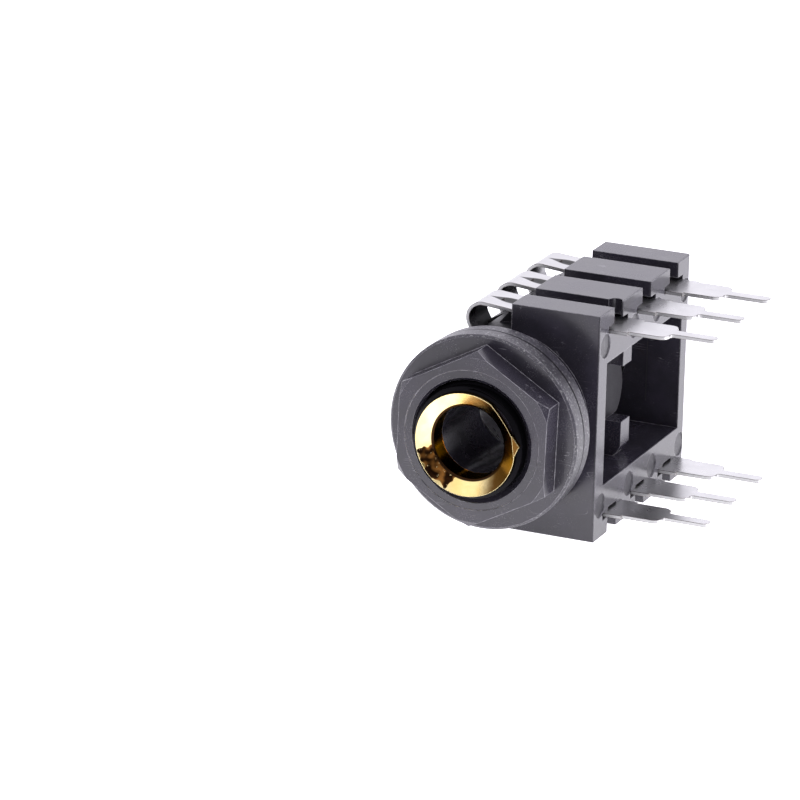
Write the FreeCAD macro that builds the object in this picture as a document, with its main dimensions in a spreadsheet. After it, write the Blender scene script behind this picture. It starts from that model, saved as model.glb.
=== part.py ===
# A switched 6.35 mm three-pole jack socket for circuit boards and front panels.
#
# Frame: the origin is on the socket's axis, in the plane of the round shoulder that a panel
# seats against. The plug goes in along +Y, so the mouth looks along -Y. +X is the board side,
# where the six pins stand out, and +Z is the side with the spring hoops. Millimetres.
#
# Pieces: the moulded housing, the plated ferrule in its mouth, the washer and the flanged hex
# nut on its threaded bush, three contact springs along +Z and three switch contacts along -Z.

import FreeCAD, Part
import math
import os
import Sketcher

DRIVING_SIZES = [
    # contacts, each stamped from one strip
    ("contact_pitch", 6.35, "distance between neighbouring contacts along the axis"),
    ("row_spacing", 16.3, "distance between the two rows of pins"),
    ("strip_thickness", 0.3, "thickness of the contact strip"),
    ("strip_width", 3.9, "width of the contact strip"),
    ("root_length", 1.6, "full width of the strip beyond the board face"),
    ("blade_step", 0.25, "how much each side of the blade is narrower than the strip"),
    ("blade_length", 3.4, "narrower blade, up to its shoulders"),
    ("blade_corner", 0.75, "radius of the blade's shoulders"),
    ("tail_length", 3.9, "solder tail beyond the shoulders"),
    ("tail_width", 1.15, "width of the solder tail"),
    ("tail_root", 0.3, "radius between the shoulders and the tail"),
    ("ramp_start", 5.0, "where the spring strip starts to rise, from the axis"),
    ("ramp_bend", 8.0, "radius of that bend"),
    ("hoop_rise", 0.97, "rise of the hoop's upper corner above the pin row"),
    ("hoop_reach", 5.7, "reach of the hoop's upper corner from the axis"),
    ("hoop_radius", 1.35, "radius of the hoop, on the strip's middle"),
    ("arm_bend_height", 4.9, "height of the bend where the arm turns straight down"),
    ("arm_bend", 1.5, "radius of that bend"),
    ("knee_bend", 2.0, "radius of the arm's bend round the plug"),
    ("arm_end_gap", 0.6, "from the arm's end to the cavity wall"),
    ("plug_room", 0.05, "gap between the arms and the plug's way"),
    ("touch_gap", 0.05, "gap at the closed switch contact"),
    ("switch_bend", 0.8, "radius of the switch contact's bend"),
    ("switch_overlap", 1.3, "how far the switch contact reaches up past the arm's end"),
    ("dimple_gap", 0.05, "stiffening groove on the hoop's flat, from the closed face"),
    ("dimple_length", 2.5, "length of that groove"),
    ("dimple_radius", 0.8, "radius of the tool that rolls it"),
    ("dimple_depth", 0.16, "depth of that groove"),
    # moulded housing
    ("board_side", 8.35, "board face from the axis"),
    ("closed_side", 0.3, "closed face from the axis"),
    ("row_cover", 1.85, "ribs' top above the pin row"),
    ("contact_margin", 4.075, "from the block's end face to the nearest contact's middle"),
    ("shoulder_length", 2.0, "round shoulder in front of the block"),
    ("barrel_clear", 0.4, "from the barrel's crown to the strips above it"),
    ("barrel_wall", 1.2, "wall of the barrel"),
    ("barrel_step", 0.5, "how far the barrel ends before the block"),
    ("boss_radius", 4.6, "round boss on the rear"),
    ("boss_length", 2.6, "boss behind the block"),
    ("boss_dome", 0.8, "height of the boss's domed end"),
    ("boss_wall", 0.6, "from the end of the plug's way to the boss's rim"),
    ("bore_point", 1.6, "length of the pointed end of the plug's way"),
    ("bore_radius", 3.2, "hole that guides the plug"),
    ("end_wall", 1.75, "walls in front of and behind the cavity"),
    ("window_height", 10.9, "window in the board face"),
    ("partition_thickness", 1.9, "partition in the middle of the cavity"),
    ("partition_edge", 1.55, "partition's edge below the board face"),
    ("partition_root", 0.3, "how far the partition starts inside the plug's way"),
    ("pad_radius", 2.9, "round pad on the partition"),
    ("pad_flat", 0.6, "depth of the two flats on the pad"),
    ("pad_room", 0.4, "room round the pad"),
    ("pad_head", 0.45, "room over the pad's upper flat"),
    ("pad_depth", 3.1, "pad's face below the board face"),
    ("fin_gap", 2.2, "from the pad to the bend of the fin below it"),
    ("fin_curve", 0.9, "how far the fin's lower end leans back"),
    ("fin_bow", 0.3, "how far its edge bows out on the way"),
    ("wall_bite", 0.2, "overlap between the partition and the walls"),
    ("rib_gap", 2.0, "groove between the ribs"),
    ("slot_side", 0.2, "gap beside the strip in its slot"),
    ("slot_seat", 0.02, "gap under the strip in its slot"),
    ("slot_headroom", 0.35, "gap over the strip in its slot"),
    ("mouth_width", 1.9, "notch under the strip at each slot's mouth"),
    ("mouth_depth", 1.5, "depth of that notch"),
    ("mouth_drop", 0.2, "how far that notch reaches below the strip"),
    ("window_room", 0.3, "room beside the arm in the barrel's opening"),
    ("window_low", 2.5, "lower edge of the barrel's openings, from the axis"),
    ("prop_inset", 0.3, "each side of the prop under a hoop, inside the strip"),
    ("prop_flat", 1.2, "flat top of the prop beyond the closed face"),
    ("prop_slope", 1.5, "sloping end of the prop"),
    ("prop_bite", 0.3, "how far the prop's foot stands off the cavity"),
    ("mark_radius", 1.07, "ejector marks on the board face"),
    ("mark_depth", 0.1, "depth of those marks"),
    ("mark_drop", 1.05, "their middle from the pin row"),
    ("mark_margin", 1.3, "outer marks from the block's end faces"),
    ("mark_inner", 2.65, "inner marks from the block's middle"),
    ("corner_round", 0.5, "rounded rear corner of the block"),
    ("relief_radius", 0.6, "upright groove at the end of the second rib"),
    ("relief_inset", 0.73, "that groove's middle from the board face"),
    # threaded bush, ferrule, washer and nut
    ("thread_radius", 5.45, "outside of the bush's thread"),
    ("thread_depth", 0.56, "depth of that thread, which the solids leave out"),
    ("bush_length", 6.25, "bush in front of the shoulder"),
    ("bush_chamfer", 0.3, "chamfer on the bush's end"),
    ("ferrule_depth", 2.25, "ferrule inside the bush"),
    ("ferrule_wall", 0.5, "wall of the ferrule's tube"),
    ("lip_step", 0.4, "from the bush's core to the ferrule's lip"),
    ("lip_thickness", 0.4, "ferrule's lip in front of the bush"),
    ("cone_depth", 0.89, "dished mouth of the ferrule"),
    ("lip_flat", 0.37, "depth of the flat on the ferrule's lip"),
    ("lip_flat_turn", 36.5, "angle of that flat, in degrees"),
    ("nib_turn", 7.0, "angle of the small nib on that lip, in degrees"),
    ("nib_width", 1.9, "width of that nib at its root"),
    ("nib_root", 0.15, "how far its root lies inside the lip's edge"),
    ("nib_gap", 0.02, "nib's point inside the nut's hole"),
    ("press_gap", 0.01, "gap round the ferrule's tube"),
    ("washer_inset", 0.05, "washer's edge inside the nut's flange"),
    ("washer_thickness", 1.2, "thickness of the washer"),
    ("washer_room", 0.15, "gap between the washer and the thread"),
    ("nut_gap", 0.1, "gap between the washer and the nut"),
    ("nut_run", 0.06, "running gap between the nut and the bush's core"),
    ("flange_rim", 0.784, "nut's round flange beyond the hexagon's corners"),
    ("flange_thickness", 1.65, "thickness of that flange"),
    ("flange_bevel", 0.2, "bevel round that flange"),
    ("hex_height", 2.35, "height of the hexagon"),
    ("hex_wall", 1.275, "nut's wall at the hexagon's flats"),
    ("hex_turn", 28.5, "angle of the hexagon's first corner, in degrees"),
    ("hex_bevel", 0.45, "height of the bevel on the hexagon's corners"),
    ("bevel_start", 0.5, "where that bevel starts, beyond the flats"),
    ("face_ring", 0.65, "width of the shallow ring round the nut's hole"),
    ("face_ring_depth", 0.06, "depth of that ring"),
]

CONTACTS = ["sleeve", "ring", "tip"]

doc = FreeCAD.newDocument("jack_socket")
sheet = doc.addObject("Spreadsheet::Sheet", "sizes")
for row, (alias, number, meaning) in enumerate(DRIVING_SIZES, start=1):
    sheet.set("A%d" % row, meaning)
    sheet.set("B%d" % row, str(number))
    sheet.setAlias("B%d" % row, alias)
doc.recompute()

# Places that several pieces share, each worked out from the driving sizes
PLACES = {
    "pin_row": "sizes.row_spacing / 2",
    "half_thick": "sizes.strip_thickness / 2",
    "half_width": "sizes.strip_width / 2",
    "first_contact": "sizes.shoulder_length + sizes.contact_margin",
    "block_depth": "2 * (sizes.contact_pitch + sizes.contact_margin)",
    "barrel_radius": "sizes.row_spacing / 2 - sizes.strip_thickness / 2 - sizes.barrel_clear",
    "core_radius": "sizes.thread_radius - sizes.thread_depth",
    "slot_half": "sizes.strip_width / 2 + sizes.slot_side",
    "arm_x": "sizes.bore_radius + sizes.plug_room + sizes.strip_thickness / 2",
}
PLACES["block_end"] = "sizes.shoulder_length + %(block_depth)s" % PLACES
PLACES["block_middle"] = "sizes.shoulder_length + sizes.contact_pitch + sizes.contact_margin"
PLACES["block_top"] = "%(pin_row)s + sizes.row_cover" % PLACES
PLACES["cavity_radius"] = "%(barrel_radius)s - sizes.barrel_wall" % PLACES
PLACES["cavity_front"] = "sizes.shoulder_length + sizes.end_wall"
PLACES["cavity_rear"] = "%(block_end)s - sizes.end_wall" % PLACES
PLACES["boss_end"] = "%(block_end)s + sizes.boss_length" % PLACES
PLACES["slot_floor"] = "%(pin_row)s - %(half_thick)s - sizes.slot_seat" % PLACES
PLACES["slot_roof"] = "%(pin_row)s + %(half_thick)s + sizes.slot_headroom" % PLACES
PLACES["pad_half"] = "(sizes.pad_radius - sizes.pad_flat)"
PLACES["partition_start"] = "sizes.bore_radius - sizes.partition_root"
PLACES["hex_inner"] = "(sizes.thread_radius + sizes.hex_wall)"
PLACES["hex_corner"] = "(%(hex_inner)s / cos(30deg))" % PLACES
PLACES["flange_radius"] = "%(hex_corner)s + sizes.flange_rim" % PLACES
PLACES["shoulder"] = "sizes.board_side + sizes.root_length + sizes.blade_length"
PLACES["ramp_slope"] = "(sizes.hoop_rise / (sizes.ramp_start + sizes.hoop_reach))"
PLACES["nut_back"] = "sizes.washer_thickness + sizes.nut_gap"
PLACES["hex_back"] = "%(nut_back)s + sizes.flange_thickness" % PLACES
PLACES["nut_front"] = "%(hex_back)s + sizes.hex_height" % PLACES
PLACES["nut_bore"] = "%(core_radius)s + sizes.nut_run" % PLACES
PLACES["lip_radius"] = "%(core_radius)s - sizes.lip_step" % PLACES
PLACES["tube_radius"] = "sizes.bore_radius + sizes.ferrule_wall"
PLACES["seat_depth"] = ("sizes.cone_depth * (%(lip_radius)s - (%(tube_radius)s))"
                        " / (%(lip_radius)s - sizes.bore_radius)" % PLACES)
PLACES["arm_end_radius"] = "(%(cavity_radius)s - sizes.arm_end_gap)" % PLACES
PLACES["arm_end_run"] = "sqrt(%(arm_end_radius)s ^ 2 - (%(arm_x)s) ^ 2)" % PLACES
PLACES["arm_end_x"] = "(%(arm_end_run)s - (%(arm_x)s)) / sqrt(2)" % PLACES
PLACES["arm_end_z"] = "-(%(arm_end_run)s + (%(arm_x)s)) / sqrt(2)" % PLACES
PLACES["switch_x"] = ("%(arm_end_x)s + %(half_thick)s * (1 + 1 / sqrt(2)) + sizes.touch_gap" % PLACES)


def at(text):
    """Write a place's formula, with every name in braces replaced by its own formula."""
    for name, formula in PLACES.items():
        text = text.replace("{%s}" % name, "(" + formula + ")")
    return text


def value(text):
    """The number that a formula gives now."""
    return float(sheet.evalExpression(at(text)))


def new_body(label):
    body = doc.addObject("PartDesign::Body", label)
    body.Label = label
    return body


def origin_plane(body, role):
    return next(item for item in body.Origin.OriginFeatures if item.Role == role)


def new_sketch(body, name, role, offset="0"):
    """An empty sketch on one of the body's own planes, moved along that plane's normal."""
    sketch = body.newObject("Sketcher::SketchObject", name)
    sketch.AttachmentSupport = [(origin_plane(body, role), "")]
    sketch.MapMode = "FlatFace"
    if offset != "0":
        sketch.setExpression("AttachmentOffset.Base.z", at(offset))
    return sketch


def bind(sketch, constraint, formula):
    index = sketch.addConstraint(constraint)
    sketch.setExpression("Constraints[%d]" % index, at(formula))


def place_point(sketch, geometry, end, point):
    """Tie one end of a piece of geometry to its two formulas."""
    across, up = point
    bind(sketch, Sketcher.Constraint("DistanceX", -1, 1, geometry, end, value(across)), across)
    bind(sketch, Sketcher.Constraint("DistanceY", -1, 1, geometry, end, value(up)), up)


def vector(point):
    return FreeCAD.Vector(value(point[0]), value(point[1]), 0)


def add_polygon(sketch, points):
    """A closed outline of straight lines through points given as formulas."""
    corners = [vector(point) for point in points]
    first = sketch.GeometryCount
    count = len(points)
    for index in range(count):
        sketch.addGeometry(Part.LineSegment(corners[index], corners[(index + 1) % count]), False)
    for index in range(count):
        following = first + (index + 1) % count
        sketch.addConstraint(Sketcher.Constraint("Coincident", first + index, 2, following, 1))
    for index, point in enumerate(points):
        place_point(sketch, first + index, 1, point)


def add_box(sketch, left, right, low, high):
    add_polygon(sketch, [(left, low), (right, low), (right, high), (left, high)])


def add_circle(sketch, centre, radius):
    circle = Part.Circle(vector(centre), FreeCAD.Vector(0, 0, 1), value(radius))
    index = sketch.addGeometry(circle, False)
    place_point(sketch, index, 3, centre)
    bind(sketch, Sketcher.Constraint("Radius", index, value(radius)), radius)


def add_bent_path(sketch, corners, bends):
    """An open path of straight runs, with a tangent arc of the given radius at each inner corner."""
    points = [vector(corner) for corner in corners]
    radii = [value(bend) for bend in bends]
    entries = [points[0]]
    arcs = []
    for index, radius in enumerate(radii, start=1):
        back = (points[index - 1] - points[index]).normalize()
        ahead = (points[index + 1] - points[index]).normalize()
        half_angle = back.getAngle(ahead) / 2
        reach = radius / math.tan(half_angle)
        middle = (back + ahead).normalize()
        centre = points[index] + middle * (radius / math.sin(half_angle))
        nearest = centre - middle * radius
        start = points[index] + back * reach
        finish = points[index] + ahead * reach
        entries += [start, finish]
        arcs.append((Part.Arc(start, nearest, finish), back.cross(ahead).z > 0, radius))
    entries.append(points[-1])
    lines = []
    for index in range(len(points) - 1):
        segment = Part.LineSegment(entries[2 * index], entries[2 * index + 1])
        lines.append(sketch.addGeometry(segment, False))
    for index, (arc, clockwise, radius) in enumerate(arcs):
        curve = sketch.addGeometry(arc, False)
        came_in, goes_out = (2, 1) if clockwise else (1, 2)
        sketch.addConstraint(Sketcher.Constraint("Tangent", lines[index], 2, curve, came_in))
        sketch.addConstraint(Sketcher.Constraint("Tangent", curve, goes_out, lines[index + 1], 1))
        bind(sketch, Sketcher.Constraint("Radius", curve, radius), bends[index])
        corner = sketch.addGeometry(Part.Point(points[index + 1]), True)
        place_point(sketch, corner, 1, corners[index + 1])
        sketch.addConstraint(Sketcher.Constraint("PointOnObject", corner, 1, lines[index]))
        sketch.addConstraint(Sketcher.Constraint("PointOnObject", corner, 1, lines[index + 1]))
    place_point(sketch, lines[0], 1, corners[0])
    place_point(sketch, lines[-1], 2, corners[-1])


def pad(body, name, sketch, length, both_ways=False, backwards=False):
    feature = body.newObject("PartDesign::Pad", name)
    feature.Profile = sketch
    feature.setExpression("Length", at(length))
    feature.Midplane = both_ways
    feature.Reversed = backwards
    return feature


def pocket(body, name, sketch, length, both_ways=False, backwards=False):
    feature = body.newObject("PartDesign::Pocket", name)
    feature.Profile = sketch
    feature.setExpression("Length", at(length))
    feature.Midplane = both_ways
    feature.Reversed = backwards
    return feature


def turned(body, kind, name, points):
    """Turn a half section about the socket's axis, to add it or to cut it away."""
    sketch = new_sketch(body, name + "_section", "XY_Plane")
    add_polygon(sketch, points)
    feature = body.newObject("PartDesign::" + kind, name)
    feature.Profile = sketch
    feature.ReferenceAxis = (sketch, ["V_Axis"])
    feature.Angle = 360
    return feature


def repeat_along_axis(body, name, features):
    """Repeat features at each contact, one pitch apart."""
    pattern = body.newObject("PartDesign::LinearPattern", name)
    pattern.Originals = features
    pattern.Direction = (origin_plane(body, "Y_Axis"), [""])
    pattern.setExpression("Length", "sizes.contact_pitch * %d" % (len(CONTACTS) - 1))
    pattern.Occurrences = len(CONTACTS)
    body.Tip = pattern
    return pattern


def upright_edges(feature, across, along):
    """Names of the feature's edges along Z that stand at one place."""
    names = []
    for index, edge in enumerate(feature.Shape.Edges, start=1):
        box = edge.BoundBox
        stands = max(box.XLength, box.YLength) < 1e-4 < box.ZLength
        if stands and abs(box.XMin - across) < 1e-4 and abs(abs(box.YMin) - abs(along)) < 1e-4:
            names.append("Edge%d" % index)
    return names


def round_edges(body, name, base, edges, radius):
    fillet = body.newObject("PartDesign::Fillet", name)
    fillet.Base = (base, edges)
    fillet.setExpression("Radius", at(radius))
    return fillet


def make_housing():
    """One moulding: block, barrel, threaded bush, rear boss, cored cavity and strip slots."""
    body = new_body("housing")
    turned(body, "Revolution", "bush_barrel_boss", [
        ("0", "-sizes.bush_length"),
        ("{core_radius} - sizes.bush_chamfer", "-sizes.bush_length"),
        ("{core_radius}", "sizes.bush_chamfer - sizes.bush_length"),
        ("{core_radius}", "0"),
        ("{barrel_radius}", "0"),
        ("{barrel_radius}", "{block_end} - sizes.barrel_step"),
        ("sizes.boss_radius", "{block_end} - sizes.barrel_step"),
        ("sizes.boss_radius", "{boss_end}"),
        ("0", "{boss_end}"),
    ])
    dome = new_sketch(body, "dome_section", "XY_Plane")
    add_dome_section(dome, "sizes.boss_radius", "{boss_end}", "sizes.boss_dome")
    crown = body.newObject("PartDesign::Revolution", "boss_dome")
    crown.Profile = dome
    crown.ReferenceAxis = (dome, ["V_Axis"])

    section = new_sketch(body, "block_section", "XZ_Plane", "-sizes.shoulder_length")
    add_box(section, "sizes.closed_side", "sizes.board_side", "-{block_top}", "{block_top}")
    block = pad(body, "block", section, "{block_depth}", backwards=True)
    doc.recompute()
    corners = upright_edges(block, value("sizes.board_side"), value("{block_end}"))
    round_edges(body, "rear_corner", block, corners, "sizes.corner_round")

    turned(body, "Groove", "barrel_cavity", [
        ("0", "{cavity_front}"),
        ("{cavity_radius}", "{cavity_front}"),
        ("{cavity_radius}", "{cavity_rear}"),
        ("0", "{cavity_rear}"),
    ])
    opening = new_sketch(body, "window_outline", "YZ_Plane")
    add_box(opening, "{cavity_front}", "{cavity_rear}",
            "-sizes.window_height / 2", "sizes.window_height / 2")
    pocket(body, "window", opening, "sizes.board_side + 1", backwards=True)

    # The partition stands behind the window, cut back below its middle by a curved edge
    partition = new_sketch(body, "partition_outline", "XZ_Plane",
                           "-({block_middle} - sizes.partition_thickness / 2)")
    add_partition_outline(partition)
    pad(body, "partition", partition, "sizes.partition_thickness", backwards=True)
    add_pad(body)

    turned(body, "Groove", "plug_bore", [
        ("0", "-sizes.bush_length"),
        ("{lip_radius}", "-sizes.bush_length"),
        ("{tube_radius} + sizes.press_gap", "{seat_depth} - sizes.bush_length"),
        ("{tube_radius} + sizes.press_gap", "sizes.ferrule_depth - sizes.bush_length"),
        ("sizes.bore_radius", "sizes.ferrule_depth - sizes.bush_length"),
        ("sizes.bore_radius", "{boss_end} - sizes.boss_wall - sizes.bore_point"),
        ("0", "{boss_end} - sizes.boss_wall"),
    ])

    cut_contact_slots(body)
    cut_rib_relief(body)
    press_ejector_marks(body)
    return body


def add_dome_section(sketch, radius, base, height):
    """Half section of a spherical cap that stands on a base line, beside the sketch's axis."""
    rim = vector((radius, base))
    crown = vector(("0", "(%s) + %s" % (base, height)))
    foot = vector(("0", base))
    ball = (rim.x ** 2 + (crown.y - foot.y) ** 2) / (2 * (crown.y - foot.y))
    circle = Part.Circle(FreeCAD.Vector(0, crown.y - ball, 0), FreeCAD.Vector(0, 0, 1), ball)
    start = math.acos(rim.x / ball)
    curve = sketch.addGeometry(Part.ArcOfCircle(circle, start, math.pi / 2), False)
    middle = sketch.addGeometry(Part.LineSegment(crown, foot), False)
    chord = sketch.addGeometry(Part.LineSegment(foot, rim), False)
    sketch.addConstraint(Sketcher.Constraint("Coincident", curve, 2, middle, 1))
    sketch.addConstraint(Sketcher.Constraint("Coincident", middle, 2, chord, 1))
    sketch.addConstraint(Sketcher.Constraint("Coincident", chord, 2, curve, 1))
    sketch.addConstraint(Sketcher.Constraint("PointOnObject", curve, 3, -2))
    place_point(sketch, middle, 1, ("0", "(%s) + %s" % (base, height)))
    place_point(sketch, middle, 2, ("0", base))
    place_point(sketch, chord, 2, (radius, base))


def add_partition_outline(sketch):
    """Upright wall whose lower end leans back in a bow, from its edge to its root."""
    top = "sizes.window_height / 2 + sizes.wall_bite"
    edge = "(sizes.board_side - sizes.partition_edge)"
    bend = "(-{pad_half} - sizes.fin_gap)"
    low = "(-sizes.window_height / 2 - sizes.wall_bite)"
    add_polygon(sketch, [
        ("{partition_start}", top),
        ("{partition_start}", low),
        (edge + " - sizes.fin_curve", low),
        (edge + " - sizes.fin_curve / 2 + sizes.fin_bow / 2", "(%s + %s) / 2" % (bend, low)),
        (edge, bend),
        (edge, top),
    ])


def add_pad(body):
    """Round pad with two flats, lower than the partition's edge."""
    face = new_sketch(body, "pad_room_outline", "YZ_Plane", "sizes.board_side")
    reach = "(sizes.pad_radius + sizes.pad_room)"
    add_box(face, "{block_middle} - " + reach, "{block_middle} + " + reach,
            "-{pad_half}", "{pad_half} + sizes.pad_head")
    pocket(body, "pad_room", face, "sizes.pad_depth")
    outline = new_sketch(body, "pad_outline", "YZ_Plane", "{partition_start}")
    add_flatted_circle(outline, "{block_middle}", "sizes.pad_radius", "{pad_half}")
    pad(body, "pad", outline, "sizes.board_side - sizes.pad_depth - ({partition_start})")


def add_flatted_circle(sketch, middle, radius, flat):
    """A circle about a point on the sketch's first axis, cut by two flats."""
    centre = FreeCAD.Vector(value(middle), 0, 0)
    size = value(radius)
    turn = math.asin(value(flat) / size)
    circle = Part.Circle(centre, FreeCAD.Vector(0, 0, 1), size)
    right = sketch.addGeometry(Part.ArcOfCircle(circle, -turn, turn), False)
    left = sketch.addGeometry(Part.ArcOfCircle(circle, math.pi - turn, math.pi + turn), False)
    half = size * math.cos(turn)
    corners = [centre + FreeCAD.Vector(side * half, level * value(flat), 0)
               for side, level in ((1, 1), (-1, 1), (-1, -1), (1, -1))]
    top = sketch.addGeometry(Part.LineSegment(corners[0], corners[1]), False)
    bottom = sketch.addGeometry(Part.LineSegment(corners[2], corners[3]), False)
    for first, first_end, second, second_end in ((right, 2, top, 1), (top, 2, left, 1),
                                                 (left, 2, bottom, 1), (bottom, 2, right, 1)):
        sketch.addConstraint(Sketcher.Constraint("Coincident", first, first_end, second, second_end))
    sketch.addConstraint(Sketcher.Constraint("Coincident", right, 3, left, 3))
    sketch.addConstraint(Sketcher.Constraint("Horizontal", top))
    sketch.addConstraint(Sketcher.Constraint("Horizontal", bottom))
    place_point(sketch, right, 3, (middle, "0"))
    bind(sketch, Sketcher.Constraint("Radius", right, size), radius)
    bind(sketch, Sketcher.Constraint("DistanceY", -1, 1, top, 1, value(flat)), flat)
    lower = "-(%s)" % flat
    bind(sketch, Sketcher.Constraint("DistanceY", -1, 1, bottom, 1, value(lower)), lower)


def cut_contact_slots(body):
    """At each contact: two T slots with notched mouths, the barrel's opening and the hoop's prop."""
    station = "{first_contact}"
    slots = new_sketch(body, "slot_section", "YZ_Plane")
    for side in ("", "-"):
        add_polygon(slots, [
            (station + " - {slot_half}", side + "{slot_floor}"),
            (station + " + {slot_half}", side + "{slot_floor}"),
            (station + " + {slot_half}", side + "{slot_roof}"),
            (station + " + sizes.rib_gap / 2", side + "{slot_roof}"),
            (station + " + sizes.rib_gap / 2", side + "({block_top} + 1)"),
            (station + " - sizes.rib_gap / 2", side + "({block_top} + 1)"),
            (station + " - sizes.rib_gap / 2", side + "{slot_roof}"),
            (station + " - {slot_half}", side + "{slot_roof}"),
        ])
    slot = pocket(body, "strip_slots", slots, "sizes.board_side + 1", backwards=True)

    rises = new_sketch(body, "slot_rise_outline", "XZ_Plane", "-" + station)
    outer = "(sizes.closed_side - 1)"
    add_polygon(rises, [
        ("sizes.ramp_start", "{slot_roof} - 0.1"),
        ("sizes.ramp_start", "{slot_roof}"),
        (outer, "{slot_roof} + (sizes.ramp_start - %s) * {ramp_slope}" % outer),
        (outer, "{slot_roof} - 0.1"),
    ])
    slot_rise = pocket(body, "slot_rises", rises, "2 * {slot_half}", both_ways=True)

    mouths = new_sketch(body, "mouth_outline", "YZ_Plane", "sizes.board_side")
    for side in ("", "-"):
        add_polygon(mouths, [
            (station + " - sizes.mouth_width / 2", side + "({slot_floor} - sizes.mouth_drop)"),
            (station + " + sizes.mouth_width / 2", side + "({slot_floor} - sizes.mouth_drop)"),
            (station + " + sizes.mouth_width / 2", side + "{slot_roof}"),
            (station + " - sizes.mouth_width / 2", side + "{slot_roof}"),
        ])
    mouth = pocket(body, "slot_mouths", mouths, "sizes.mouth_depth")

    openings = new_sketch(body, "arm_opening_outline", "XZ_Plane", "-" + station)
    add_box(openings, "-{barrel_radius} - 1",
            "-({arm_x} - {half_thick} - sizes.window_room)",
            "sizes.window_low", "{barrel_radius} + 1")
    arm_opening = pocket(body, "arm_openings", openings, "2 * {slot_half}", both_ways=True)

    well = new_sketch(body, "switch_well_outline", "XZ_Plane", "-" + station)
    add_box(well, "{switch_x} - {half_thick} - sizes.slot_side",
            "{switch_x} + sizes.switch_bend + sizes.slot_side",
            "-{slot_roof}", "-{cavity_radius} + 1.2")
    switch_well = pocket(body, "switch_wells", well, "2 * {slot_half}", both_ways=True)

    props = new_sketch(body, "prop_outline", "XZ_Plane", "-" + station)
    foot = "({cavity_radius} + sizes.prop_bite)"
    root = "(sizes.closed_side + 0.5)"
    nose = "(sizes.closed_side - sizes.prop_flat)"
    add_polygon(props, [
        (root, foot),
        (root, "{slot_floor} + (sizes.ramp_start - %s) * {ramp_slope}" % root),
        (nose, "{slot_floor} + (sizes.ramp_start - %s) * {ramp_slope}" % nose),
        (nose + " - sizes.prop_slope", foot),
    ])
    prop = pad(body, "hoop_props", props, "sizes.strip_width - 2 * sizes.prop_inset",
               both_ways=True)
    repeat_along_axis(body, "contact_stations", [slot, slot_rise, mouth, arm_opening, switch_well, prop])


def cut_rib_relief(body):
    """Half-round upright groove in the front of the second upper rib, by the board face."""
    outline = new_sketch(body, "rib_relief_outline", "XY_Plane", "{block_top}")
    add_circle(outline, ("sizes.board_side - sizes.relief_inset",
                         "{first_contact} + sizes.rib_gap / 2"), "sizes.relief_radius")
    pocket(body, "rib_relief", outline, "{block_top} - {slot_roof}")


def press_ejector_marks(body):
    """Eight shallow round marks on the board face, over the ribs."""
    marks = new_sketch(body, "mark_outline", "YZ_Plane", "sizes.board_side")
    places = ["sizes.shoulder_length + sizes.mark_margin", "{block_middle} - sizes.mark_inner",
              "{block_middle} + sizes.mark_inner", "{block_end} - sizes.mark_margin"]
    for level in ("{pin_row} - sizes.mark_drop", "sizes.mark_drop - {pin_row}"):
        for place in places:
            add_circle(marks, (place, level), "sizes.mark_radius")
    pocket(body, "ejector_marks", marks, "sizes.mark_depth")


def make_ferrule():
    """Ring in the socket's mouth: short tube and thin dished lip with a flat and a nib."""
    body = new_body("ferrule")
    front = "-sizes.bush_length - sizes.lip_thickness"
    turned(body, "Revolution", "ferrule_ring", [
        ("sizes.bore_radius", front + " + sizes.cone_depth"),
        ("sizes.bore_radius", "sizes.ferrule_depth - sizes.bush_length"),
        ("{tube_radius}", "sizes.ferrule_depth - sizes.bush_length"),
        ("{tube_radius}", "{seat_depth} - sizes.bush_length"),
        ("{lip_radius}", "-sizes.bush_length"),
        ("{lip_radius}", front),
    ])
    flat = new_sketch(body, "lip_flat_outline", "XZ_Plane", "sizes.bush_length")
    add_polygon(flat, turned_corners("sizes.lip_flat_turn", [
        ("{lip_radius} - sizes.lip_flat", "-{lip_radius}"),
        ("{lip_radius} + sizes.lip_flat", "-{lip_radius}"),
        ("{lip_radius} + sizes.lip_flat", "{lip_radius}"),
        ("{lip_radius} - sizes.lip_flat", "{lip_radius}")]))
    pocket(body, "lip_flat_cut", flat, "2 * sizes.lip_thickness", both_ways=True)
    nib = new_sketch(body, "nib_outline", "XZ_Plane", "sizes.bush_length")
    add_polygon(nib, turned_corners("sizes.nib_turn", [
        ("{lip_radius} - sizes.nib_root", "-sizes.nib_width / 2"),
        ("{nut_bore} - sizes.nib_gap", "0"),
        ("{lip_radius} - sizes.nib_root", "sizes.nib_width / 2")]))
    pad(body, "nib", nib, "sizes.lip_thickness")
    return body


def turned_corners(turn, corners):
    """Corners given outward and sideways, turned about the sketch's origin."""
    angle = "(%s) * 1deg" % turn
    return [("(%s) * cos(%s) - (%s) * sin(%s)" % (out, angle, side, angle),
             "(%s) * sin(%s) + (%s) * cos(%s)" % (out, angle, side, angle))
            for out, side in corners]


def make_washer():
    body = new_body("washer")
    turned(body, "Revolution", "washer_ring", [
        ("sizes.thread_radius + sizes.washer_room", "0"),
        ("{flange_radius} - sizes.washer_inset", "0"),
        ("{flange_radius} - sizes.washer_inset", "-sizes.washer_thickness"),
        ("sizes.thread_radius + sizes.washer_room", "-sizes.washer_thickness"),
    ])
    return body


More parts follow.
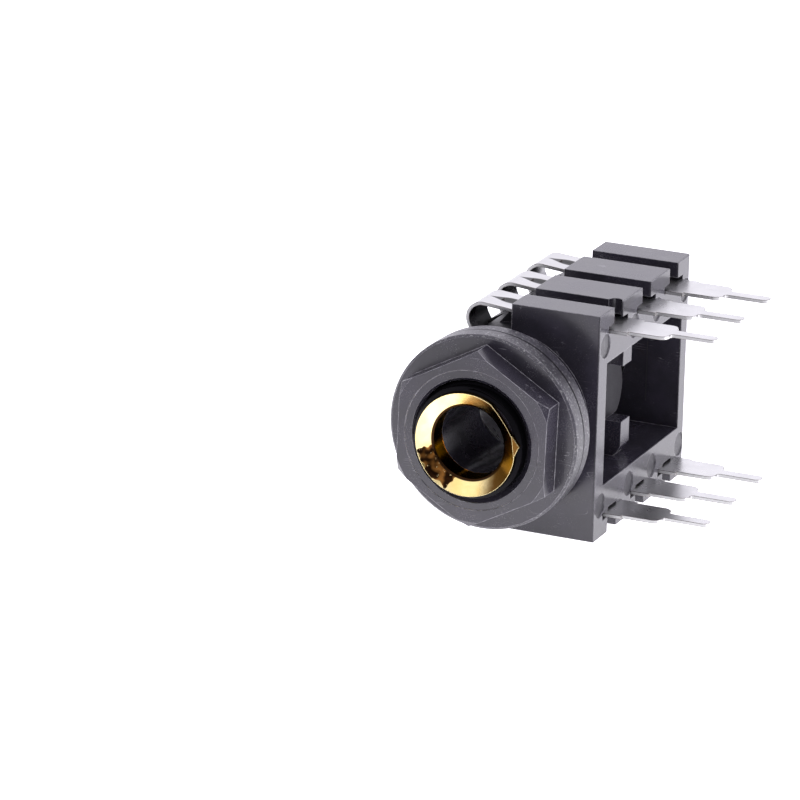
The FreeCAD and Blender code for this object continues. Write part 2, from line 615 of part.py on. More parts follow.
def make_nut():
    """Hexagon nut with a round flange of its own, bevelled corners and a countersunk hole."""
    body = new_body("nut")
    turned(body, "Revolution", "flange", [
        ("0", "-{nut_back}"),
        ("{flange_radius}", "-{nut_back}"),
        ("{flange_radius}", "sizes.flange_bevel - {hex_back}"),
        ("{flange_radius} - sizes.flange_bevel", "-{hex_back}"),
        ("0", "-{hex_back}"),
    ])
    outline = new_sketch(body, "hexagon_outline", "XZ_Plane", "{nut_back}")
    add_polygon(outline, [
        ("{hex_corner} * cos((sizes.hex_turn + %d) * 1deg)" % turn,
         "{hex_corner} * sin((sizes.hex_turn + %d) * 1deg)" % turn)
        for turn in range(0, 360, 60)])
    pad(body, "hexagon", outline, "sizes.flange_thickness + sizes.hex_height")
    slope = "(sizes.hex_bevel / ({hex_corner} - {hex_inner} - sizes.bevel_start))"
    turned(body, "Groove", "corner_bevel", [
        ("{hex_inner} + sizes.bevel_start", "-{nut_front}"),
        ("2 * {hex_inner}", "-{nut_front}"),
        ("2 * {hex_inner}", "%s * ({hex_inner} - sizes.bevel_start) - {nut_front}" % slope),
    ])
    turned(body, "Groove", "threaded_hole", [
        ("0", "-{nut_back}"),
        ("sizes.thread_radius", "-{nut_back}"),
        ("{nut_bore}", "-{nut_back} - sizes.thread_depth + sizes.nut_run"),
        ("{nut_bore}", "sizes.thread_depth - sizes.nut_run - {nut_front}"),
        ("sizes.thread_radius", "sizes.face_ring_depth - {nut_front}"),
        ("sizes.thread_radius + sizes.face_ring", "sizes.face_ring_depth - {nut_front}"),
        ("sizes.thread_radius + sizes.face_ring", "-{nut_front}"),
        ("0", "-{nut_front}"),
    ])
    return body


def add_blade(body, level):
    """Blade that narrows in a step, with round shoulders and a solder tail between them."""
    outline = new_sketch(body, "blade_outline", "XY_Plane", level + " - {half_thick}")
    step = "sizes.board_side + sizes.root_length"
    end = "{shoulder} + sizes.tail_length"
    corners = [
        ("sizes.board_side", "{half_width}"),
        (step, "{half_width}"),
        (step, "({half_width} - sizes.blade_step)"),
        ("{shoulder}", "({half_width} - sizes.blade_step)"),
        ("{shoulder}", "sizes.tail_width / 2"),
        (end, "sizes.tail_width / 2"),
    ]
    mirrored = [(across, "-" + side) for across, side in reversed(corners)]
    add_polygon(outline, corners + mirrored)
    blade = pad(body, "blade", outline, "sizes.strip_thickness")
    for name, across, side, radius in (
            ("shoulders", "{shoulder}", "{half_width} - sizes.blade_step", "sizes.blade_corner"),
            ("tail_roots", "{shoulder}", "sizes.tail_width / 2", "sizes.tail_root"),
            ("tail_end", end, "sizes.tail_width / 2", "sizes.tail_width * 0.45")):
        doc.recompute()
        edges = upright_edges(blade, value(across), value(side))
        blade = round_edges(body, name, blade, edges, radius)


def add_strip(body, level, corners, bends):
    """Carry the strip on from the blade along a bent path."""
    path = new_sketch(body, "strip_path", "XZ_Plane")
    add_bent_path(path, corners, bends)
    section = new_sketch(body, "strip_section", "YZ_Plane", "sizes.board_side")
    add_box(section, "-{half_width}", "{half_width}", level + " - {half_thick}",
            level + " + {half_thick}")
    strip = body.newObject("PartDesign::AdditivePipe", "strip")
    strip.Profile = section
    strip.Spine = (path, [])
    return strip


def press_dimple(body):
    """Stiffening groove rolled into the sloping flat that leads up to the hoop."""
    outline = new_sketch(body, "dimple_outline", "XZ_Plane")
    lift = "(sizes.dimple_radius - sizes.dimple_depth + sizes.strip_thickness / 2)"
    ends = []
    for distance in ("sizes.dimple_gap", "sizes.dimple_gap + sizes.dimple_length"):
        across = "(sizes.closed_side - (%s))" % distance
        height = "{pin_row} + (sizes.ramp_start - %s) * {ramp_slope}" % across
        ends.append((across, height))
    (start_x, start_z), (end_x, end_z) = ends
    depth = "%s - sizes.dimple_radius" % lift
    add_polygon(outline, [
        (start_x, "%s + %s" % (start_z, lift)),
        (start_x, "%s + %s" % (start_z, depth)),
        (end_x, "%s + %s" % (end_z, depth)),
        (end_x, "%s + %s" % (end_z, lift)),
    ])
    groove = body.newObject("PartDesign::Groove", "dimple")
    groove.Profile = outline
    groove.ReferenceAxis = (outline, ["Edge4"])
    return groove


def make_spring(label, index):
    """Contact spring: blade, strip through the top slot, hoop, and an arm beside the plug."""
    body = new_body(label)
    add_blade(body, "{pin_row}")
    bend_z = "(1 - sqrt(2)) * {arm_x}"
    add_strip(body, "{pin_row}", [
        ("sizes.board_side", "{pin_row}"),
        ("sizes.ramp_start", "{pin_row}"),
        ("-sizes.hoop_reach", "{pin_row} + sizes.hoop_rise"),
        ("-{arm_x}", "sizes.arm_bend_height"),
        ("-{arm_x}", bend_z),
        ("{arm_end_x}", "{arm_end_z}"),
    ], ["sizes.ramp_bend", "sizes.hoop_radius", "sizes.arm_bend", "sizes.knee_bend"])
    press_dimple(body)
    body.setExpression("Placement.Base.y", at("{first_contact} + %d * sizes.contact_pitch" % index))
    return body


def make_switch(label, index):
    """Switch contact: the same blade, and a strip turned up to meet the spring's arm."""
    body = new_body(label)
    add_blade(body, "-{pin_row}")
    add_strip(body, "-{pin_row}", [
        ("sizes.board_side", "-{pin_row}"),
        ("{switch_x}", "-{pin_row}"),
        ("{switch_x}", "{arm_end_z} + sizes.switch_overlap"),
    ], ["sizes.switch_bend"])
    body.setExpression("Placement.Base.y", at("{first_contact} + %d * sizes.contact_pitch" % index))
    return body


pieces = [make_housing(), make_ferrule(), make_washer(), make_nut()]
for index, pole in enumerate(CONTACTS):
    pieces.append(make_spring(pole + "_spring", index))
    pieces.append(make_switch(pole + "_switch", index))
doc.recompute()

for item in doc.Objects:
    if "Invalid" in item.State or "Error" in item.State:
        raise RuntimeError("%s failed: %s" % (item.Name, item.State))
for piece in pieces:
    if piece.Shape.isNull() or not piece.Shape.isValid() or len(piece.Shape.Solids) != 1:
        raise RuntimeError("%s is not one valid solid" % piece.Label)

os.makedirs("parts", exist_ok=True)
for piece in pieces:
    piece.Shape.exportStep("parts/%s.step" % piece.Label)
    box = piece.Shape.BoundBox
    print("%-14s %8.2f mm3  X %6.2f %6.2f  Y %6.2f %6.2f  Z %6.2f %6.2f" % (
        piece.Label, piece.Shape.Volume, box.XMin, box.XMax, box.YMin, box.YMax, box.ZMin, box.ZMax))
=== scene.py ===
"""Dresses the audio jack socket: moulded housing, gold ferrule, washer, nut and sprung contacts.

The solids come in as a fixed frame. Each solid gets a dressed copy whose edges are rounded in the
shading, the bush and the nut get their thread, and every surface gets the finish of its material.
"""

import math

import bmesh
import bpy
from mathutils import Matrix, Vector


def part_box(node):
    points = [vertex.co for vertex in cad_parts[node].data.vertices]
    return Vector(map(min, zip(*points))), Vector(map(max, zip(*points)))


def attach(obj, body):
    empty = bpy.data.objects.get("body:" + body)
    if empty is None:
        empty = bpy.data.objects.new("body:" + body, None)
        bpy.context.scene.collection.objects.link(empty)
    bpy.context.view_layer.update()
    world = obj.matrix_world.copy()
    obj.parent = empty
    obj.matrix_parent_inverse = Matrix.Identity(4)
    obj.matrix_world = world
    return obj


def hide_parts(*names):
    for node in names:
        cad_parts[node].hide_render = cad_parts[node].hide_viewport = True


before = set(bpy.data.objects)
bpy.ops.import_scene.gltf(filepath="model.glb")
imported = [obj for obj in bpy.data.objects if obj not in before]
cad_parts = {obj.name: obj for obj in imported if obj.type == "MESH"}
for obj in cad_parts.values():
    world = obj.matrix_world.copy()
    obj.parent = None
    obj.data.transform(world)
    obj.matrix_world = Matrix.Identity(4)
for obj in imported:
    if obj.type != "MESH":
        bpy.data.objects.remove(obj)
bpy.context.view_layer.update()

bl_info = {
    "name": "Audio jack socket",
    "version": (1, 0, 0),
    "blender": (4, 5, 0),
    "location": "3D View > Sidebar > Jack socket",
    "description": "Dresses the solids of a panel jack socket for rendering",
    "category": "Object",
}

MM = 0.001
CONTACTS = ("sleeve", "ring", "tip")
SPRINGS = tuple(name + "_spring" for name in CONTACTS)
SWITCHES = tuple(name + "_switch" for name in CONTACTS)

# Housing, washer and nut: where a finish changes, in millimetres in the frame
BOARD_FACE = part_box("housing")[1].x / MM
MARK_FLOOR = BOARD_FACE - 0.1
PAD_FACE = BOARD_FACE - 3.1
PAD_REACH = 3.4
CLOSED_FACE = 0.3
BLOCK_FRONT = 2.0
RECESS_FOOT = 5.0
BOSS_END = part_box("housing")[1].y / MM
SEAM_START = BOSS_END - 1.0
BUSH_MOUTH = -4.2
THREAD_MOUTH = -2.5
MOUTH_RADIUS = 4.4
JOINT_RADIUS = 8.2
WASHER_RIM = 8.3
NUT_RIM = 8.35

# Ferrule: millimetres, and the dent's place round the mouth in degrees from +X towards +Z
TUBE_RADIUS = 3.42
TUBE_RING = -4.16
DENT_TURN = 221
DENT_HALF_WIDTH = 1.9
DENT_INSIDE = 3.45
DENT_OUTSIDE = 5.05

# Contacts, in millimetres: where painted shade lies inside each hoop's bend and in its groove;
# a hoop's groove widens from its tip, then keeps its width
FIRST_CONTACT = sum(corner.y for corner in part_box("sleeve_spring")) / 2 / MM
PITCH = sum(corner.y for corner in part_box("ring_spring")) / 2 / MM - FIRST_CONTACT
HOOP_INSIDE = -2.0
HOOP_FOOT = 5.6
FLAT_HEIGHT = 8.0
GROOVE_TIP = -3.5
GROOVE_WIDE = -1.5
GROOVE_END = 0.5
GROOVE_HALF_WIDTHS = (0.05, 0.66)

# Meshes: a distance in millimetres and angles in degrees
MERGE_DISTANCE = 0.0005
FLAT_ANGLE = 0.4
SMOOTH_ANGLE = 25

# Thread: how much the room widens a crest, and the slope at which the ridge runs out
CREST_ROOM = 1.2
RUNOUT_SLOPE = 0.8

# Turns of the nut's groove in front of the thread's start
NUT_TURNS = 8

# Floor, light and camera: metres and watts, but millimetres for the sensor and the floor's fades
FLOOR_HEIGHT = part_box("housing")[0].z
FLOOR_HALF = 3.0
FRONT_FADE = (-62.0, -2.0)
REAR_FADE = (5.0, 30.0)
BACK_COLOUR = (0.99, 0.965, 1.05, 1.0)
FLOOR_COLOUR = (1.0, 0.985, 1.03, 1.0)
PANEL_PLACE = Vector((0.05, 0.02, 0.4))
PANEL_AIM = Vector((0.0, 0.008, 0.0))
PANEL_SIZE = 0.3
PANEL_POWER = 0.2
CAMERA_PLACE = Vector((153.2, -363.4, 132.6)) * MM
CAMERA_LOOK = Vector((-0.38671, 0.86681, -0.31478))
CAMERA_ACROSS = Vector((0.91029, 0.41347, 0.02025))
CAMERA_REACH = (0.01, 20.0)
SENSOR_WIDTH = 36.0


# Finishes

class Wire:
    """A shader socket that can be used in sums, products and powers."""

    def __init__(self, finish, socket):
        self.finish = finish
        self.socket = socket

    def work(self, operation, *others):
        return self.finish.node("ShaderNodeMath", {"operation": operation}, (self, *others))

    def __add__(self, other):
        return self.work("ADD", other)

    __radd__ = __add__

    def __mul__(self, other):
        return self.work("MULTIPLY", other)

    __rmul__ = __mul__

    def __sub__(self, other):
        return self.work("SUBTRACT", other)

    def __rsub__(self, other):
        return self.finish.node("ShaderNodeMath", {"operation": "SUBTRACT"}, (other, self))

    def __abs__(self):
        return self.work("ABSOLUTE")

    def __pow__(self, other):
        return self.work("POWER", other)

    def ramp(self, low, high, start=0.0, end=1.0):
        """The value carried smoothly from start to end as it goes from low to high."""
        return self.finish.node(
            "ShaderNodeMapRange", {"interpolation_type": "SMOOTHSTEP"},
            {"Value": self, "From Min": low, "From Max": high, "To Min": start, "To Max": end})


class Graph:
    """The nodes of a material or of the room's light."""

    def __init__(self, tree, shader):
        self.tree = tree
        self.shader = tree.nodes[shader]

    def feed(self, socket, value):
        """Gives an input a value or a wire."""
        if isinstance(value, Wire):
            self.tree.links.new(value.socket, socket)
        else:
            socket.default_value = value

    def set(self, socket, value):
        """Gives one of the shader's inputs a value or a wire."""
        self.feed(self.shader.inputs[socket], value)

    def node(self, kind, settings=None, values=(), out=0):
        """Adds a node with its settings and its inputs, and gives one of its outputs."""
        made = self.tree.nodes.new(kind)
        for key, value in (settings or {}).items():
            setattr(made, key, value)
        pairs = values.items() if isinstance(values, dict) else enumerate(values)
        for key, value in pairs:
            self.feed(made.inputs[key], value)
        return Wire(self, made.outputs[out])

    def mix(self, amount, first, second):
        """Two colours mixed by an amount from 0 to 1."""
        made = self.tree.nodes.new("ShaderNodeMix")
        made.data_type = "RGBA"
        self.feed(made.inputs[0], amount)
        colours = [socket for socket in made.inputs if socket.type == "RGBA"]
        for socket, colour in zip(colours, (first, second)):
            self.feed(socket, colour)
        shown = [socket for socket in made.outputs if socket.type == "RGBA"][0]
        return Wire(self, shown)

    def coat(self, base, *layers):
        """A colour under layers, each an amount and a colour, the last on top."""
        for where, colour in layers:
            base = self.mix(where, base, colour)
        return base

    def split(self, vector):
        """The x, y and z of a vector."""
        parts = self.node("ShaderNodeSeparateXYZ", {}, (vector,)).socket.node.outputs
        return tuple(Wire(self, parts[axis]) for axis in "XYZ")


class Finish(Graph):
    """One material and the nodes that it is made of."""

    def __init__(self, name, **shader):
        self.material = bpy.data.materials.new(name)
        self.material.use_nodes = True
        super().__init__(self.material.node_tree, "Principled BSDF")
        for socket, value in shader.items():
            self.set(socket.replace("_", " ").title().replace("Ior", "IOR"), value)
        self.place = self.node("ShaderNodeTexCoord", out="Object")

    def axes(self):
        """The place on the piece, in millimetres, as its x, y and z."""
        return self.split(self.node("ShaderNodeMapping", {},
                                    {"Vector": self.place, "Scale": (1 / MM,) * 3}))

    def noise(self, per_mm, detail=3.0, roughness=0.5, stretch=(1, 1, 1), shift=(0, 0, 0)):
        """Cloudy noise with so many lumps to the millimetre."""
        scale = tuple(per_mm * amount / MM for amount in stretch)
        moved = self.node("ShaderNodeMapping", {},
                          {"Vector": self.place, "Scale": scale, "Location": shift})
        return self.node("ShaderNodeTexNoise", {},
                         {"Vector": moved, "Scale": 1.0, "Detail": detail,
                          "Roughness": roughness})

    def edges(self, radius_mm):
        """How far into a rounded edge a surface lies, 0 on flats, and the rounded normal."""
        rounded = self.node("ShaderNodeBevel", {"samples": 6}, {"Radius": radius_mm * MM})
        plain = self.node("ShaderNodeNewGeometry", out="Normal")
        alike = self.node("ShaderNodeVectorMath", {"operation": "DOT_PRODUCT"},
                          (rounded, plain), out="Value")
        return (1 - alike).ramp(0.0, 0.12), rounded

    def bump(self, height, distance_mm, strength=1.0, normal=None):
        """A relief of that depth, over a normal that is already there."""
        values = {"Height": height, "Distance": distance_mm * MM, "Strength": strength}
        if normal is not None:
            values["Normal"] = normal
        return self.node("ShaderNodeBump", {}, values)


def grey(value, cast=0.0):
    """A linear grey, violet-blue by the cast."""
    return (value, value * (1 - cast), value * (1 + 3 * cast), 1.0)


class SatinPlastic(Finish):
    """Moulded satin black plastic: cloudy gloss, fine grain, dust specks and hairline scratches.

    base, rough, relief and black are its colour, roughness, height and the metallic share that
    stops reflection where painted shade and dark joints are painted near black. Each method works
    one feature into them, and close() joins them to the shader.
    """

    def __init__(self, name, depth, speckle):
        super().__init__(name, ior=1.58)
        self.looks = bpy.context.scene.socket_looks
        self.x, self.y, self.z = self.axes()
        self.radius = (self.x * self.x + self.z * self.z) ** 0.5
        sheen = self.looks.plastic_sheen
        cloud = self.noise(0.22, 4.0, 0.6)
        self.relief = self.noise(9.0, 3.0, 0.6)
        self.base = self.mix(cloud.ramp(0.35, 0.65), grey(depth, 0.08), grey(depth * 1.4, 0.1))
        self.rough = cloud.ramp(0.3, 0.7, sheen - 0.04, sheen + 0.05) \
            + self.relief.ramp(0.3, 0.7, -0.03, 0.03)
        self.black = 0.0
        self.scratch()
        self.dust(speckle)

    def scratch(self):
        """Straight hairlines here and there."""
        streaks = self.noise(1.3, 2.0, 0.4, stretch=(0.12, 0.5, 1.0), shift=(5.3, 0.7, 2.2))
        hairlines = (0.007 - abs(streaks - 0.5)).ramp(0.0, 0.005)
        sparse = self.noise(0.45, 2.0, shift=(1.3, 4.1, 0.2)).ramp(0.58, 0.66)
        self.lay(hairlines * sparse * 0.3, grey(0.3, 0.02))

    def dust(self, speckle):
        """Fine pale specks in patches."""
        specks = self.noise(14.0, 2.0, 0.7, shift=(3.1, 7.7, 1.9)).ramp(0.64, 0.72)
        patches = self.noise(0.5, 2.0).ramp(0.4, 0.62)
        self.lay(specks * patches * speckle, grey(0.5), rougher=0.2)

    def in_plane(self, place):
        """Surfaces in the upright plane at that distance from the axis."""
        return (0.05 - abs(self.x - place)).ramp(0.0, 0.02)

    def lay(self, where, colour, rougher=0.0):
        """Lays a colour over the base there, and makes the surface rougher."""
        self.base = self.mix(where, self.base, colour)
        self.rough = self.rough + where * rougher

    def grain(self, where, depth, speckle):
        """Spark-eroded grain with pale specks."""
        lumps = self.noise(5.0, 2.0, 0.7)
        self.relief = self.relief + where * lumps * depth
        self.lay(where * lumps.ramp(0.56, 0.66) * speckle, grey(0.45), rougher=0.1)
        self.rough = self.rough + where * 0.14

    def grained_rim(self, radius):
        """Eroded grain beyond a radius from the axis."""
        self.grain((self.radius - radius).ramp(0.0, 0.04), depth=16.0, speckle=0.4)

    def ejector_marks(self, face):
        """Dull rough floors of the round marks, a little below the board face."""
        floor = self.in_plane(face)
        self.grain(floor, depth=12.0, speckle=0.4)
        self.lay(floor * 0.6, grey(0.012, 0.08), rougher=0.1)

    def blacken(self, where):
        """Paints a place near black, so that it mirrors next to nothing: for painted shade and dark
        joints.
        """
        self.lay(where, grey(0.006, 0.05), rougher=0.3)
        self.black = self.black + where

    def dark_mouth(self, front):
        """Painted shade in the gap round the ferrule: black plastic in front of a depth."""
        outside = (self.radius - MOUTH_RADIUS).ramp(0.0, 0.05)
        self.blacken((front - self.y).ramp(0.0, 0.1) * outside)

    def dark_joint(self, depth):
        """The black line where the nut's flange and the washer meet at their rims."""
        line = (0.14 - abs(self.y - depth)).ramp(0.0, 0.06)
        self.blacken(line * (self.radius - JOINT_RADIUS).ramp(0.0, 0.1) * 0.9)

    def shade_under_hoops(self, closed_face):
        """Darker plastic in the recesses that the spring hoops cover."""
        beyond = self.x.ramp(closed_face - 0.05, closed_face - 0.3)
        behind = self.y.ramp(BLOCK_FRONT - 0.1, BLOCK_FRONT + 0.1)
        self.blacken(beyond * self.z.ramp(RECESS_FOOT, RECESS_FOOT + 0.6) * behind * 0.7)

    def dull_shaded_pad(self, face):
        """The eroded, rougher face of the round pad in the window, darkened with painted shade."""
        pad = self.in_plane(face) * (PAD_REACH - abs(self.z)).ramp(0.0, 0.1)
        self.lay(pad, grey(0.012, 0.1), rougher=0.4)
        self.black = self.black + pad * 0.5

    def parting_line(self, depth):
        """The mould's crooked upright seam across the boss's end, behind a depth."""
        wander = self.x + (self.noise(0.5, 3.0, shift=(0.0, 2.0, 0.0)) - 0.5) * 0.6
        seam = (0.06 - abs(wander)).ramp(0.0, 0.04) * (self.y - depth).ramp(0.0, 0.1)
        self.relief = self.relief + seam * 6.0
        self.lay(seam * 0.4, grey(0.1, 0.05))

    def close(self, wear_and_highlight):
        """Adds pale edges, partly rubbed and partly painted highlight, joins all up and gives the
        material.
        """
        edge, rounded = self.edges(self.looks.plastic_edge)
        worn_and_highlit = self.noise(1.6, 4.0, 0.6).ramp(0.35, 0.62, 0.35, 1.0) * (1 - self.black)
        # Pale edges: partly rubbed, partly painted highlight, and none where painted near black
        self.lay(edge * worn_and_highlit * wear_and_highlight, grey(0.5, 0.02))
        self.set("Metallic", self.black)
        self.set("Base Color", self.base)
        self.set("Roughness", self.rough)
        self.set("Normal", self.bump(self.relief, distance_mm=0.006, strength=0.35, normal=rounded))
        return self.material


def tinned_metal(name, edge_radius):
    """Bright tinned sheet: soft clouds, duller cut edges, darker rounded edges, and painted shade
    over the hoops, in each hoop's groove and inside each hoop's bend.
    """
    finish = Finish(name, metallic=1.0, roughness=0.25, specular_tint=grey(0.75))
    edge, rounded = finish.edges(edge_radius)
    x, y, z = finish.axes()
    cloud = finish.noise(0.6, 3.0)
    lines = finish.noise(1.1, 3.0, 0.6, stretch=(0.2, 6.0, 1.0))
    facing = finish.split(finish.node("ShaderNodeNewGeometry", out="Normal"))
    cut = abs(facing[1]).ramp(0.6, 0.8)
    inside = facing[0].ramp(0.1, 0.3) \
        * x.ramp(HOOP_INSIDE, HOOP_INSIDE - 0.4) * z.ramp(HOOP_FOOT, HOOP_FOOT + 0.4)
    finish.set("Base Color", finish.coat(
        finish.mix(cloud.ramp(0.35, 0.7), grey(0.7), grey(0.65)),
        (cut * 0.8, grey(0.34)),
        # Painted shade: greyer where x falls below 1 mm, over the hoops
        (x.ramp(1.0, 0.0) * 0.3, grey(0.55)),
        # Painted shade in each hoop's groove and inside each hoop's bend
        (hoop_groove_shade(finish, x, y, z) * 0.95, grey(0.04)),
        (inside * 0.7, grey(0.16, 0.02)),
        (edge * 0.9, (0.12, 0.1, 0.09, 1.0))))
    finish.set("Roughness", cloud.ramp(0.3, 0.7, 0.27, 0.31)
               + lines.ramp(0.3, 0.7, -0.01, 0.01) + cut * 0.1)
    finish.set("Normal", finish.bump(lines, distance_mm=0.0004, strength=0.08, normal=rounded))
    return finish.material


def hoop_groove_shade(finish, x, y, z):
    """Painted shade in the groove along each hoop's flat, which narrows towards the hoop's bend."""
    beside = abs(finish.node("ShaderNodeMath", {"operation": "PINGPONG"},
                             (y - FIRST_CONTACT, PITCH / 2)))
    half_width = x.ramp(GROOVE_TIP, GROOVE_WIDE, *GROOVE_HALF_WIDTHS)
    return (half_width - beside).ramp(-0.08, 0.08) * x.ramp(GROOVE_TIP, GROOVE_TIP + 0.3) \
        * z.ramp(FLAT_HEIGHT, FLAT_HEIGHT + 0.3) * x.ramp(GROOVE_END, GROOVE_END - 0.3)


def gold_plate(name):
    """Polished gold plate: pale yellow, browner to one side, a painted highlight along its edges,
    painted shade in its tube's mouth, orange further in, and a rough dent.
    """
    finish = Finish(name, metallic=1.0, roughness=0.16, specular_tint=(1.0, 0.7, 0.26, 1.0))
    edge, rounded = finish.edges(radius_mm=0.07)
    cloud = finish.noise(0.5, 3.0)
    fine = finish.noise(4.0, 3.0, 0.6)
    blocks = finish.noise(1.2, 1.0, 0.4, shift=(0.4, 0.0, 2.0))
    x, y, z = finish.axes()
    radius = (x * x + z * z) ** 0.5
    dent = mouth_dent(x, z, radius, fine, blocks)
    tube = (TUBE_RADIUS - radius).ramp(0.0, 0.06)
    ring = (y - TUBE_RING).ramp(0.0, 0.03)
    browner_side = (x + fine * 0.5).ramp(1.0, 3.0)
    pits = finish.mix(blocks.ramp(0.4, 0.62), (0.02, 0.008, 0.003, 1.0), (0.3, 0.13, 0.03, 1.0))
    patches = finish.mix(fine.ramp(0.66, 0.7), pits, (1.0, 0.8, 0.4, 1.0))
    finish.set("Base Color", finish.coat(
        finish.mix(cloud.ramp(0.35, 0.7), (1.0, 0.84, 0.42, 1.0), (1.0, 0.76, 0.28, 1.0)),
        (browner_side * 0.97, (0.1, 0.038, 0.002, 1.0)),
        (dent, patches),
        # Painted highlight: pale gold along the rounded edges
        (edge * 0.9, (1.0, 0.86, 0.46, 1.0)),
        # Painted shade: dark brown in the tube's mouth; orange further into the tube
        (tube, (0.03, 0.014, 0.006, 1.0)),
        (tube * ring, (0.8, 0.3, 0.06, 1.0))))
    finish.set("Roughness", cloud.ramp(0.3, 0.7, 0.1, 0.18) + dent * 0.2)
    height = fine * 0.06 + dent * (blocks * 5.0 - 3.0)
    finish.set("Normal", finish.bump(height, distance_mm=0.06, strength=0.6, normal=rounded))
    return finish.material


def mouth_dent(x, z, radius, fine, blocks):
    """A rough dent across the ferrule's dished mouth, with a ragged outline."""
    turn = math.radians(DENT_TURN)
    across = x * math.cos(turn) + z * math.sin(turn)
    beside = abs(x * -math.sin(turn) + z * math.cos(turn)) + (blocks - 0.5) * 2.0
    inside = (radius + fine * 0.3).ramp(DENT_INSIDE, DENT_INSIDE + 0.05)
    outside = (radius + blocks * 1.2).ramp(DENT_OUTSIDE, DENT_OUTSIDE - 0.1)
    return (DENT_HALF_WIDTH - beside).ramp(0.0, 0.12) * across.ramp(2.0, 2.4) * inside * outside


def pale_floor(name, shade, glow):
    """Plain pale paper with a faint fibre, whose glow fades in front and less behind."""
    finish = Finish(name, roughness=0.85, specular_ior_level=0.1)
    fibre = finish.noise(0.9, 3.0)
    _, depth, _ = finish.axes()
    lit = depth.ramp(*FRONT_FADE, 0.15, 1.0) * depth.ramp(*REAR_FADE, 1.0, 0.7)
    finish.set("Base Color", finish.mix(fibre, grey(shade), grey(shade * 0.985)))
    finish.set("Emission Color", finish.mix(lit, grey(0.0), FLOOR_COLOUR))
    finish.set("Emission Strength", glow)
    finish.set("Normal", finish.bump(fibre, distance_mm=0.02, strength=0.2))
    return finish.material


# Shapes

def dressed_copy(node, name):
    """A merged copy of a solid, with its flat faces freed of slivers."""
    mesh = bpy.data.meshes.new_from_object(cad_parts[node])
    mesh.name = name
    for left_over in ("custom_normal", "sharp_edge", "sharp_face"):
        if left_over in mesh.attributes:
            mesh.attributes.remove(mesh.attributes[left_over])
    work = bmesh.new()
    work.from_mesh(mesh)
    bmesh.ops.remove_doubles(work, verts=work.verts, dist=MERGE_DISTANCE * MM)
    bmesh.ops.dissolve_limit(work, angle_limit=math.radians(FLAT_ANGLE), verts=work.verts,
                             edges=work.edges)
    wide = [face for face in work.faces if len(face.verts) > 4]
    bmesh.ops.triangulate(work, faces=wide)
    work.to_mesh(mesh)
    work.free()
    mesh.materials.clear()
    piece = bpy.data.objects.new(name, mesh)
    bpy.context.scene.collection.objects.link(piece)
    return piece


def thread_ridge(name, threads, start, end, room=0.0):
    """The ridge of the bush's right-hand thread between two depths, with room all round."""
    pitch = threads.pitch * MM
    crest, root = threads.crest_radius * MM + room, threads.root_radius * MM - room
    ridge = helix_mesh(name, {
        "Length": start - end, "Pitch": pitch, "Radius": (crest + root) / 2,
        "Depth": crest - root, "Root width": threads.root_width * MM + 2 * room,
        "Crest width": threads.crest_width * MM + CREST_ROOM * room})
    upright = Matrix.Rotation(math.radians(90), 4, "X")
    ridge.data.transform(Matrix.Translation((0.0, start, 0.0)) @ upright)
    return ridge


def thread_start(threads):
    """Where the bush's thread starts, half a turn in front of the shoulder."""
    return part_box("washer")[1].y - 0.5 * threads.pitch * MM


def taper_mouth(ridge, threads):
    """Lets the thread's crest run down onto the bush before its mouth."""
    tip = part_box("housing")[0].y
    for vertex in ridge.data.vertices:
        reach = math.hypot(vertex.co.x, vertex.co.z)
        beyond = max(0.0, vertex.co.y - tip - threads.runout * MM)
        most = threads.root_radius * MM + RUNOUT_SLOPE * beyond
        if reach > most:
            vertex.co.x *= most / reach
            vertex.co.z *= most / reach


def helix_mesh(name, sizes):
    """A ridge wound right-handed up the Z axis, as a plain closed mesh."""
    tree = bpy.data.node_groups.new(name + "_nodes", "GeometryNodeTree")
    tree.interface.new_socket("Geometry", in_out="OUTPUT", socket_type="NodeSocketGeometry")
    for label in sizes:
        tree.interface.new_socket(label, in_out="INPUT", socket_type="NodeSocketFloat")
    given = tree.nodes.new("NodeGroupInput")
    result = tree.nodes.new("NodeGroupOutput")

    def put(kind, settings, **links):
        made = tree.nodes.new(kind)
        for key, value in settings.items():
            setattr(made, key, value)
        for key, value in links.items():
            socket = made.inputs[key.replace("_", " ")]
            if hasattr(value, "is_output"):
                tree.links.new(value, socket)
            else:
                socket.default_value = value
        return made.outputs[0]

    def over(first, second):
        made = tree.nodes.new("ShaderNodeMath")
        made.operation = "DIVIDE"
        tree.links.new(first, made.inputs[0])
        tree.links.new(second, made.inputs[1])
        return made.outputs[0]

    wanted = given.outputs
    turns = over(wanted["Length"], wanted["Pitch"])
    path = put("GeometryNodeCurveSpiral", {}, Resolution=64, Rotations=turns,
               Start_Radius=wanted["Radius"], End_Radius=wanted["Radius"],
               Height=wanted["Length"], Reverse=True)
    path = put("GeometryNodeSetCurveNormal", {"mode": "Z_UP"}, Curve=path)
    section = put("GeometryNodeCurvePrimitiveQuadrilateral", {"mode": "TRAPEZOID"},
                  Height=wanted["Depth"], Bottom_Width=wanted["Root width"],
                  Top_Width=wanted["Crest width"], Offset=0.0)
    section = put("GeometryNodeTransform", {}, Geometry=section,
                  Rotation=(0.0, 0.0, math.radians(-90)))
    ridge = put("GeometryNodeCurveToMesh", {}, Curve=path, Profile_Curve=section,
                Fill_Caps=True)
    single = put("GeometryNodeRealizeInstances", {}, Geometry=ridge)
    coated = put("GeometryNodeSetMaterial", {}, Geometry=single)
    tree.links.new(coated, result.inputs[0])

    piece = bpy.data.objects.new(name, bpy.data.meshes.new(name))
    bpy.context.scene.collection.objects.link(piece)
    modifier = piece.modifiers.new("thread", "NODES")
    modifier.node_group = tree
    for socket in tree.interface.items_tree:
        if socket.in_out == "INPUT":
            modifier[socket.identifier] = sizes[socket.name]
    return plain_mesh(piece)


